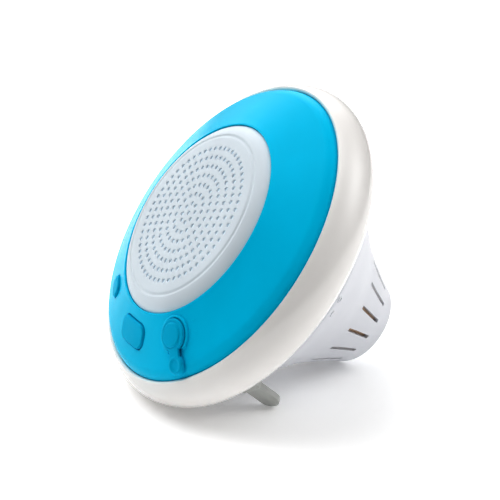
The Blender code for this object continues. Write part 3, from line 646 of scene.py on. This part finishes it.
def make_fascia():
    """The blue front ring: a soft lip at the lens, a rolled edge at the seam, real holes,
    the collar round the port and two small dots beside it."""
    inner_end = BAFFLE_EDGE_RADIUS
    mouth = LENS_RADIUS - 0.05
    outer = [(mouth, 11.5)]
    outer += fillet([(mouth, 12.5, 0.0), (mouth, 14.45, 0.5), (51.0, 14.3, 0.9),
                     (inner_end, fascia_height(inner_end), 0.0)])[1:]
    for step in range(1, 20):
        radius = inner_end + (ROLL_START - inner_end) * step / 20
        outer.append((radius, fascia_height(radius)))
    cone = math.atan(FASCIA_SLOPE)
    centre = (ROLL_START - ROLL_RADIUS * math.sin(cone),
              fascia_height(ROLL_START) - ROLL_RADIUS * math.cos(cone))
    inner = []
    for step in range(17):
        turn = cone + (math.radians(ROLL_END) - cone) * step / 16
        outer.append((centre[0] + ROLL_RADIUS * math.sin(turn),
                      centre[1] + ROLL_RADIUS * math.cos(turn)))
        if step % 4 == 0:
            inner.insert(0, (centre[0] + (ROLL_RADIUS - ROLL_WALL) * math.sin(turn),
                             centre[1] + (ROLL_RADIUS - ROLL_WALL) * math.cos(turn)))
    outer += fillet([(77.54, -0.9, 0.0), (SEAM_RADIUS + 0.02, -1.3, 0.3), (SEAM_RADIUS, -3.8, 0.3),
                     (75.2, -3.8, 0.3), (75.15, -1.9, 0.0)], 6)[1:]
    inner.append((54.4, fascia_height(54.4) - FASCIA_WALL))
    mesh = lathe_mesh("fascia_shell", outer + inner + [(inner_end, 11.5)], RIM_ROUND)
    fascia = wrap("fascia_shell", mesh, AXIS)
    collar = lathe_mesh("collar", fillet([(8.1, -1.5, 0.0), (8.1, 1.05, 0.3),
                                          (9.3, 0.75, 0.6), (9.7, -1.5, 0.0)]), 96)
    notch = stack_mesh("notch", [[(p.x, p.y - 10.0, z)
                                  for p in rounded_outline(10.6, 6.0, 0.6)] for z in (0.1, 4.0)])
    collar_piece = wrap("collar", collar, AXIS @ metres(PORT_PLACE))
    combine(collar_piece, [placed(notch, AXIS @ metres(PORT_PLACE))])
    collar = collar_piece.data
    bpy.data.objects.remove(collar_piece, do_unlink=True)
    dots = []
    for radius in (58.0, 63.0):
        place = control_place(48.0, radius)
        loops = [[(p.x, p.y, height) for p in circle(size, 16)]
                 for size, height in ((0.42, -0.6), (0.42, 0.02), (0.36, 0.1), (0.2, 0.16))]
        dots.append(placed(stack_mesh("dot", loops), AXIS @ metres(place)))
    combine(fascia, [collar] + dots, "UNION")
    wells = []
    for place, (width, height, corner) in ((POWER_PLACE, POWER_SIZE), (MODE_PLACE, MODE_SIZE)):
        wells.append(well_mesh(
            place, lambda offset, w=width, h=height, c=corner:
            rounded_outline(w, h, c, BUTTON_CLEARANCE + offset), 6.0))
    wells.append(well_mesh(PORT_PLACE, lambda offset: circle(5.5 + offset), 6.0))
    combine(fascia, wells)
    dress(fascia, "housing", "blue_gloss", "fascia")


def make_button(label, place, size):
    """A button that follows the fascia's curve, with a rounded rim and a slight crown."""
    width, height, corner = size
    rim = 0.7
    crown = 0.15
    loops = [[(p.x, p.y, z) for p in rounded_outline(width, height, corner, offset)]
             for offset, z in ((0.9, -4.6), (0.9, -3.5), (0.0, -3.5))]

    def skin(x, y, lift):
        return (x, y, rise(place, x, y) + BUTTON_RISE + lift)

    for angle in (90.0, 70.0, 50.0, 30.0, 12.0, 0.0):
        turn = math.radians(angle)
        outline = rounded_outline(width, height, corner, -rim * (1.0 - math.sin(turn)))
        loops.append([skin(p.x, p.y, rim * (math.cos(turn) - 1.0)) for p in outline])
    inset = rounded_outline(width, height, corner, -rim)
    for share in (0.92, 0.8, 0.65, 0.5, 0.35, 0.2, 0.08):
        loops.append([skin(p.x * share, p.y * share, crown * (1.0 - share * share))
                      for p in inset])
    loops.append([skin(0.0, 0.0, crown)])
    cap = wrap(label + "_cap", stack_mesh(label, loops), AXIS @ metres(place), 50.0)
    dress(cap, label, "blue_rubber", label)


def make_port():
    """The rubber flap's head, the lobe that anchors it and the strap between them."""
    head = lathe_mesh("port_plug", fillet([
        (0.0, 3.1, 0.0), (5.3, 3.0, 1.2), (5.9, 2.15, 0.5), (6.6, 2.3, 0.5), (7.5, 2.2, 0.7),
        (7.75, 1.4, 0.4), (7.75, 0.6, 0.3), (5.0, 0.6, 0.2), (5.0, -1.2, 0.4),
        (0.0, -1.2, 0.0)]), 96)
    plug = wrap("port_plug", head, AXIS @ metres(PORT_PLACE))
    dress(plug, "port_flap", "blue_rubber", "port_flap")
    loops = []
    for radius, height, follow in ((4.3, 0.2, 1.0), (4.7, 0.5, 1.0), (4.7, 1.3, 0.75),
                                   (4.5, 1.9, 0.6), (4.0, 2.3, 0.5), (3.4, 2.4, 0.45),
                                   (2.8, 2.15, 0.4), (2.4, 1.9, 0.3), (1.4, 1.85, 0.2)):
        loops.append([(p.x, p.y, height + follow * rise(ANCHOR_PLACE, p.x, p.y))
                      for p in circle(radius)])
    loops.append([(0.0, 0.0, 1.85)])
    lobe = wrap("strap_lobe", stack_mesh("strap_lobe", loops), AXIS @ metres(ANCHOR_PLACE))
    dress(lobe, "housing", "blue_rubber", "flap_anchor")
    make_strap()


def make_strap():
    """The flexible neck of the flap, from its head over the hinge line to the lobe."""
    start = -6.6
    stop = -11.4
    loops = []
    steps = 24
    for step in range(steps + 1):
        share = step / steps
        y = start + (stop - start) * share
        half = 3.0 + 0.4 * (2.0 * share - 1.0) ** 2
        floor = rise(PORT_PLACE, 0.0, y)
        low = floor + 0.75 - 0.25 * share
        high = floor + 2.3
        middle = (low + high) / 2.0
        thick = (high - low) / 2.0
        loop = []
        for corner in rounded_outline(2.0 * half, 2.0 * thick, 0.5 * thick, 0.0, 4, 3):
            loop.append((corner.x, y, middle + corner.y))
        loops.append(loop)
    strap = wrap("flap_strap", stack_mesh("flap_strap", loops), AXIS @ metres(PORT_PLACE), 50.0)
    strap.data.materials.append(MATERIALS["blue_rubber"])
    place = AXIS @ metres(PORT_PLACE)
    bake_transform(strap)


# ---------------------------------------------------------------- lens
def dome_height(radius):
    return DOME_HEIGHT - DOME_DROP * (radius / DOME_EDGE_RADIUS) ** 2


def make_lens():
    """The frosted dome with its shoulder, its groove, its real grille holes and their cloth, whose glow is painted
    light.
    """
    wall = LENS_RADIUS - 0.1
    outer = []
    for step in range(34):
        radius = DOME_EDGE_RADIUS * step / 33
        outer.append((radius, dome_height(radius)))
    outer += fillet([(DOME_EDGE_RADIUS, 17.95, 0.0), (41.2, 17.9, 0.5), (DOME_RADIUS + 0.2, 17.3, 1.2),
                     (43.3, 17.65, 0.8), (44.0, 17.5, 0.0)])[1:]
    outer += spline([(44.0, 17.5), (45.2, 17.05), (46.6, 16.3), (47.9, 15.4), (49.0, 14.5),
                     (49.8, 13.8), (wall, 13.3)], 5)[1:]
    outer += [(wall, 11.2), (52.2, 11.2), (52.2, 9.8)]
    inner = [(48.0, 9.8), (48.0, 12.6), (46.5, 14.2), (DOME_RADIUS, 15.8), (38.5, 17.2),
             (33.0, 17.5), (18.0, 18.05), (0.0, 18.3)]
    lens = wrap("lens_shell", lathe_mesh("lens_shell", outer + inner, ROUND), AXIS)
    combine(lens, [grille_hole(ring, number) for ring in range(GRILLE_RINGS)
                   for number in range(max(1, GRILLE_STEP * ring))])
    dress(lens, "housing", "lens_frosted", "lens_dome")
    skin = []
    for radius, drop in ((0.0, 0.0), (18.0, 0.0), (30.0, 0.0), (CLOTH_RADIUS, 0.0),
                         (CLOTH_RADIUS, 0.3), (30.0, 0.3), (18.0, 0.3), (0.0, 0.3)):
        skin.append((radius, CLOTH_HEIGHT - CLOTH_DROP * (radius / CLOTH_RADIUS) ** 2 - drop))
    # The cloth behind the holes glows with painted light.
    backing = wrap("grille_cloth_painted_glow", lathe_mesh("grille_cloth_painted_glow", skin, 160), AXIS)
    dress(backing, "housing", "lens_frosted", "lens_dome", finish=GRILLE_CLOTH_PAINTED_GLOW)


def grille_hole(ring, number):
    """A cutter for one hole of the grille, with a rounded rim."""
    count = max(1, GRILLE_STEP * ring)
    centre = polar(360.0 * (number + 0.5 * (ring % 2)) / count, GRILLE_PITCH * ring)
    top = dome_height(GRILLE_PITCH * ring)
    loops = []
    for radius, height in ((1.05, top - 4.0), (1.05, top - 0.3), (1.12, top - 0.12),
                           (1.3, top - 0.01), (1.4, top + 0.6)):
        loops.append([(p.x + centre.x, p.y + centre.y, height) for p in circle(radius, 16)])
    return placed(stack_mesh("hole", loops), AXIS)


# ---------------------------------------------------------------- float ring
def make_ring():
    """The float ring: one smooth glossy section, its seam lip and the tail's socket."""
    inner_tube = RING_TUBE - RING_WALL
    outer = arc(RING_TUBE, ring_angle(RING_CREST_RADIUS, RING_TUBE, False), 0.0, 24)
    outer += arc(RING_TUBE, 0.0, ring_angle(RING_UNDER_RADIUS, RING_TUBE, True), 40)[1:]
    low = outer[-1]
    inside = NECK_RADIUS + 0.4
    socket = fillet([(low[0], low[1], 0.0), (COLLAR_RADIUS, low[1] - 0.2, 0.6),
                     (COLLAR_RADIUS, -26.0, 0.5), (inside, -26.0, 0.4),
                     (inside, -23.5, 0.0), (61.6, -23.5, 0.0), (61.6, -20.3, 0.0),
                     (39.0, -20.3, 0.3), (39.0, -18.3, 0.3), (60.3, -18.3, 0.0),
                     (60.3, -7.0, 0.3), (62.3, -7.0, 0.3), (62.3, -20.0, 0.0)])[1:]
    inner = arc(inner_tube, ring_angle(62.3, inner_tube, True),
                ring_angle(RING_LIP_RADIUS + 0.3, inner_tube, False), 20)
    crest = outer[0]
    top = fillet([(RING_LIP_RADIUS, -1.9, 0.0), (RING_LIP_RADIUS, -0.75, 0.3),
                  (RING_LIP_RADIUS + 0.7, -0.2, 0.5), (crest[0], crest[1], 0.0)])[:-1]
    mesh = lathe_mesh("ring_shell", outer + socket + inner + top, RIM_ROUND)
    dress(wrap("ring_shell", mesh, AXIS), "housing", "ring_white", "float_ring")


# ---------------------------------------------------------------- tail
TAIL_CURVE = [(59.2, -36.8), (58.4, -39.6), (52.1, -48.2), (45.3, -57.5), (38.7, -66.6),
              (33.2, -76.1), (28.3, -85.5), (24.6, -92.7)]


def tail_radius(height):
    """Radius of the bell's outside at a height."""
    curve = spline(TAIL_CURVE, 8)
    for (r0, z0), (r1, z1) in zip(curve, curve[1:]):
        if z1 <= height <= z0:
            return r0 + (r1 - r0) * (height - z0) / (z1 - z0)
    return curve[-1][0]


def make_tail():
    """The bell with its rounded end and its slots, and the felt liner behind them."""
    outer = [(NECK_RADIUS, NECK_TOP), (NECK_RADIUS, -28.0), (NECK_RADIUS, -33.0)]
    outer += spline(TAIL_CURVE, 8)
    outer += fillet([(24.6, -92.7, 0.0), (21.9, TAIL_END, 3.2), (17.6, TAIL_END, 0.3),
                     (17.0, TAIL_END + 0.5, 0.3), (0.0, TAIL_END + 0.5, 0.0)], 10)[1:]
    inner = [(0.0, TAIL_END + TAIL_WALL), (18.6, TAIL_END + TAIL_WALL), (22.2, -92.0)]
    inner += [(r - 2.3, z) for r, z in reversed(spline(TAIL_CURVE[1:7], 3))]
    inner += [(NECK_RADIUS - TAIL_WALL, -37.0), (NECK_RADIUS - TAIL_WALL, NECK_TOP)]
    bell = wrap("tail_shell", lathe_mesh("tail_shell", outer + inner, ROUND), AXIS)
    combine(bell, [tail_slot(number) for number in range(SLOT_COUNT)])
    dress(bell, "tail", "tail_white", "tail_bell")
    curve = [(r - LINER_INSET, z) for r, z in spline(TAIL_CURVE, 4)
             if LINER_BOTTOM < z < LINER_TOP]
    liner = curve + [(r - LINER_WALL, z) for r, z in reversed(curve)]
    felt = wrap("slot_liner", lathe_mesh("slot_liner", liner, 120), AXIS)
    dress(felt, "tail", "tail_white", "tail_bell", finish=SLOT_FELT)


def tail_slot(number):
    """A cutter for one slot along the bell's flank, with round ends and a rounded rim."""
    top = Vector(SLOT_TOP)
    bottom = Vector(SLOT_BOTTOM)
    middle = (top + bottom) / 2.0
    length = (top - bottom).length
    lean = math.atan2(top.x - bottom.x, top.y - bottom.y)
    bearing = SLOT_PHASE + 360.0 * number / SLOT_COUNT
    place = Matrix.Translation(polar(bearing, middle.x, middle.y))
    place = place @ Matrix.Rotation(math.radians(bearing), 4, "Z")
    place = place @ Matrix.Rotation(lean, 4, "X")
    loops = []
    for offset, out in ((0.0, -5.0), (0.0, -0.25), (0.05, -0.08), (0.16, 0.01), (0.3, 1.0)):
        loop = []
        for p in rounded_outline(SLOT_WIDTH - 0.1, length, SLOT_WIDTH / 2.0 - 0.05, offset, 6, 8):
            point = place @ Vector((0.0, 0.0, p.y))
            bow = tail_radius(point.z) - math.hypot(point.x, point.y)
            loop.append((p.x, -out - bow, p.y))
        loops.append(loop)
    return placed(stack_mesh("slot", loops), AXIS @ metres(place))


# ---------------------------------------------------------------- stand legs
def leg_place(side):
    """A leg's hinge frame: +Z up towards the ring, +Y in to the axis, X along the rim."""
    place = Matrix.Translation(polar(side * LEG_BEARING, LEG_HINGE_RADIUS, LEG_HINGE_HEIGHT))
    turn = Matrix.Rotation(math.radians(side * LEG_BEARING), 4, "Z")
    return place @ turn @ Matrix.Rotation(math.radians(-LEG_SPLAY), 4, "X")


def make_leg(label, side):
    """A leg: a plate with round ends and rounded edges."""
    half = LEG_WIDTH / 2.0
    middle = (half - LEG_REACH) / 2.0
    edge = 0.45
    deep = LEG_THICKNESS / 2.0
    loops = []
    for face in (-1.0, 1.0):
        rim = []
        for angle in (0.0, 30.0, 60.0, 90.0):
            turn = math.radians(angle)
            rim.append((-edge * (1.0 - math.sin(turn)), deep - edge * (1.0 - math.cos(turn))))
        for offset, out in (rim if face < 0.0 else reversed(rim)):
            outline = rounded_outline(LEG_WIDTH, LEG_REACH + half, half - 0.1, offset, 16, 8)
            loops.append([(p.x, face * out, middle + p.y) for p in outline])
    place = AXIS @ metres(leg_place(side))
    leg = wrap(f"leg_{label}_plate", stack_mesh("leg", loops), place)
    eye = [[(p.x, y, p.y) for p in circle(1.8, 32)] for y in (-4.0, 4.0)]
    combine(leg, [placed(stack_mesh("eye", eye), place)])
    dress(leg, f"leg_{label}", "leg_grey", f"stand_leg_{label}")


def make_bracket(label, side):
    """The bracket that a leg turns in, with a slot, rounded edges and a screw flange."""
    half = LEG_WIDTH / 2.0
    deep = LEG_THICKNESS / 2.0 + 1.7
    place = AXIS @ metres(leg_place(side))

    def block(name, width, height, x, z, depth, corner, edge):
        rim = [(-edge * (1.0 - math.sin(turn)), depth - edge * (1.0 - math.cos(turn)))
               for turn in (0.0, math.pi / 6.0, math.pi / 3.0, math.pi / 2.0)]
        faces = [(offset, -out) for offset, out in rim] + [(o, out) for o, out in reversed(rim)]
        loops = [[(p.x + x, y, p.y + z) for p in rounded_outline(width, height, corner, offset)]
                 for offset, y in faces]
        return placed(stack_mesh(name, loops), place)

    high = BRACKET_TOP - BRACKET_BOTTOM
    body = block("bracket", BRACKET_WIDTH, high, side * 1.0, BRACKET_TOP - high / 2.0, deep, 1.6, 0.5)
    bracket = bpy.data.objects.new(f"leg_{label}_bracket", body)
    bpy.context.scene.collection.objects.link(bracket)
    wide, thick = FLANGE_SIZE
    flange = block("flange", wide, thick, side * FLANGE_OFFSET, BRACKET_TOP - thick / 2.0, deep,
                   0.5, 0.4)
    combine(bracket, [flange], "UNION")
    gap = BRACKET_SLOT_HALF
    slot = [[(x, y, z) for y, z in ((-gap, -12.0), (gap, -12.0), (gap, 12.0), (-gap, 12.0))]
            for x in (side * (half + 0.4), side * -12.0)]
    hole = [[(p.x + side * BRACKET_SCREW_OFFSET, p.y, z) for p in circle(1.3, 24)]
            for z in (2.0, 12.0)]
    eye = [[(p.x, y, p.y) for p in circle(LEG_PIN_RADIUS + 0.25, 32)] for y in (-6.0, 6.0)]
    combine(bracket, [placed(stack_mesh("slot", slot), place),
                      placed(stack_mesh("hole", hole), place)])
    combine(bracket, [placed(stack_mesh("eye", eye), place)])
    dress(bracket, "housing", "leg_grey", f"leg_bracket_{label}")
    turn = Matrix.Rotation(math.radians(90.0), 4, "X")
    pin = lathe_mesh("pin", fillet([(0.0, deep - 0.2, 0.0), (0.7, deep - 0.2, 0.1),
                                    (0.9, deep, 0.1), (LEG_PIN_RADIUS, deep, 0.3),
                                    (LEG_PIN_RADIUS, -deep, 0.3), (0.0, -deep, 0.0)], 4), 48)
    dress(wrap(f"leg_{label}_pin", pin, place @ turn), "housing", "steel", f"leg_pin_{label}")


def make_lock_marks():
    """The raised marks that show where the tail locks: a ring, and an arc of one."""
    section = fillet([(1.15, -0.8, 0.0), (1.15, 0.34, 0.15), (1.7, 0.34, 0.15),
                      (1.7, -0.8, 0.0)], 4)
    for name, bearing, height in (("lock_ring", 95.1, -40.2), ("lock_arc", 87.7, -42.0)):
        place = Matrix.Translation(polar(bearing, tail_radius(height), height))
        place = place @ Matrix.Rotation(math.radians(bearing), 4, "Z")
        place = place @ Matrix.Rotation(math.radians(LOCK_LEAN), 4, "X")
        mark = wrap(name, lathe_mesh(name, section, 48), AXIS @ metres(place))
        if name == "lock_arc":
            half = [[(p.x, p.y - 1.9, z) for p in rounded_outline(5.0, 4.0, 0.3)]
                    for z in (-2.0, 2.0)]
            combine(mark, [placed(stack_mesh("half", half), AXIS @ metres(place))])
        dress(mark, "tail", "tail_white", "tail_bell")


make_camera()
make_floor()
make_surround()
make_fascia()
make_button("power_button", POWER_PLACE, POWER_SIZE)
make_button("mode_button", MODE_PLACE, MODE_SIZE)
make_port()
make_lens()
make_ring()
make_tail()
make_lock_marks()
for label, side in (("right", 1.0), ("left", -1.0)):
    make_leg(label, side)
    make_bracket(label, side)

for part in frame["record"]["subparts"]:
    materials = frame["nodes"][part["node"]].data.materials
    materials.clear()
    materials.append(MATERIALS[part["material_slot"]])

bpy.context.scene.view_settings.view_transform = "Standard"
bpy.context.scene.view_settings.gamma = 1.0 / CONTRAST
